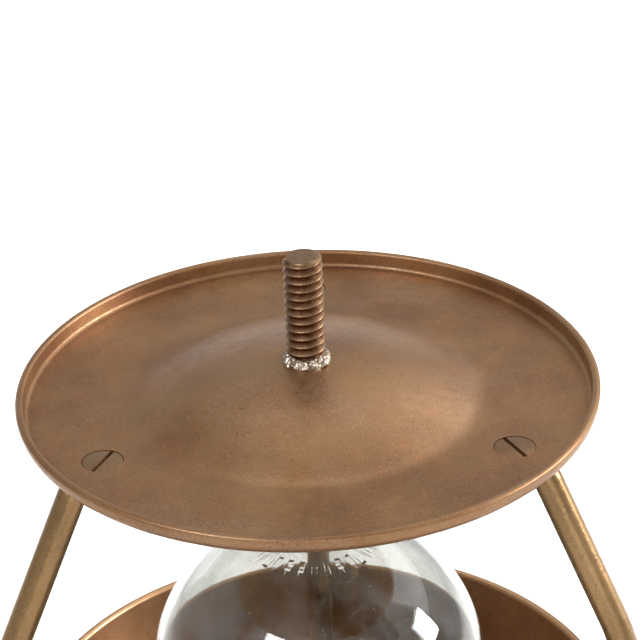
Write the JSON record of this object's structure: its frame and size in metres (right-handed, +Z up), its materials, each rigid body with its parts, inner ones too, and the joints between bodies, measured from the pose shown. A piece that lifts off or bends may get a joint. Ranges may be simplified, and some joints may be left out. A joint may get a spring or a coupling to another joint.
{
  "type": "miner's electric safety lamp",
  "caption": "Miner's hand lamp: dished brass hood on three bowed guard bars over a globe well glass in a brass cup, twist-switch head, round battery case with magnetic lock.",
  "frame": {"origin": "centre of the base ring's underside, on the lamp's axis", "axes": "+Z up along the lamp's axis towards the suspension stud, -Y towards the lock, +X to its right"},
  "size_m": [0.095, 0.095, 0.2515],
  "materials": {
    "lacquered_brass": "satin lacquered spun sheet with fine flecks",
    "bar_brass": "satin lacquered drawn rod",
    "stud_metal": "dull threaded rod",
    "solder": "rough soft solder",
    "screw_brass": "turned, slotted",
    "clear_glass": "clear pressed glass",
    "rubber_seal": "black rubber",
    "white_enamel": "vitreous enamel",
    "bulb_clear": "thin blown glass",
    "contact_brass": "bright turned brass",
    "support_wire": "drawn wire",
    "bakelite": "moulded phenolic",
    "spring_steel": "drawn spring wire",
    "ebonite": "moulded hard rubber",
    "plate_positive": "pasted lead plate",
    "plate_negative": "pasted lead plate",
    "separator_wood": "thin grooved wood",
    "lead_post": "cast lead alloy",
    "vent_red": "moulded hard rubber",
    "lock_steel": "soft iron bolt"
  },
  "bodies": {
    "case_body": {"battery_case": "lacquered_brass", "case_collar": "lacquered_brass", "base_ring": "lacquered_brass", "base_pad": "rubber_seal", "cell_jar": "ebonite", "cell_lid": "ebonite", "vent_plugs": "vent_red", "positive_plates": "plate_positive", "negative_plates": "plate_negative", "plate_separators": "separator_wood", "positive_post": "lead_post", "negative_post": "lead_post", "positive_spring": "spring_steel", "negative_spring": "spring_steel", "lock_housing": "lacquered_brass", "lock_spring": "spring_steel", "lock_cap": "screw_brass", "lock_screws": "screw_brass"},
    "head_body": {"hood": "lacquered_brass", "suspension_stud": "stud_metal", "stud_solder": "solder", "hood_screws": "screw_brass", "guard_bar_left": "bar_brass", "guard_bar_right": "bar_brass", "guard_bar_rear": "bar_brass", "bar_nuts": "screw_brass", "guard_cup": "lacquered_brass", "well_glass": "clear_glass", "lower_gasket": "rubber_seal", "upper_gasket": "rubber_seal", "clamp_ring": "lacquered_brass", "clamp_screws": "screw_brass", "reflector": "white_enamel", "bulb_glass": "bulb_clear", "bulb_cap": "contact_brass", "bulb_filament": "support_wire", "bulb_socket": "contact_brass", "socket_base": "bakelite", "bulb_contact_spring": "spring_steel", "lamp_head": "lacquered_brass", "head_seal": "rubber_seal", "contact_disc": "bakelite", "centre_button": "contact_brass", "contact_ring": "contact_brass", "contact_screws": "screw_brass"},
    "lock_bolt_body": {"lock_bolt": "lock_steel"},
    "positive_plunger_body": {"positive_plunger": "contact_brass"},
    "negative_plunger_body": {"negative_plunger": "contact_brass"},
    "bulb_contact_body": {"bulb_contact": "contact_brass"}
  },
  "joints": [
    {"name": "head_twist", "type": "hinge", "parent": "case_body", "child": "head_body", "pos_m": [0, 0, 0.15], "axis": [0, 0, 1], "range_deg": [0, 45]},
    {"name": "lock_bolt_slide", "type": "slide", "parent": "case_body", "child": "lock_bolt_body", "axis": [0, 0, 1], "range_m": [-0.007, 0], "stiffness_N_per_m": 150, "springref_m": 0.003, "deforming": ["lock_spring"]},
    {"name": "positive_plunger_slide", "type": "slide", "parent": "case_body", "child": "positive_plunger_body", "axis": [0, 0, 1], "range_m": [-0.002, 0], "stiffness_N_per_m": 400, "springref_m": 0.002, "deforming": ["positive_spring"]},
    {"name": "negative_plunger_slide", "type": "slide", "parent": "case_body", "child": "negative_plunger_body", "axis": [0, 0, 1], "range_m": [-0.002, 0], "stiffness_N_per_m": 400, "springref_m": 0.002, "deforming": ["negative_spring"]},
    {"name": "bulb_contact_slide", "type": "slide", "parent": "head_body", "child": "bulb_contact_body", "axis": [0, 0, 1], "range_m": [-0.0015, 0], "stiffness_N_per_m": 300, "springref_m": 0.002, "deforming": ["bulb_contact_spring"]}
  ]
}
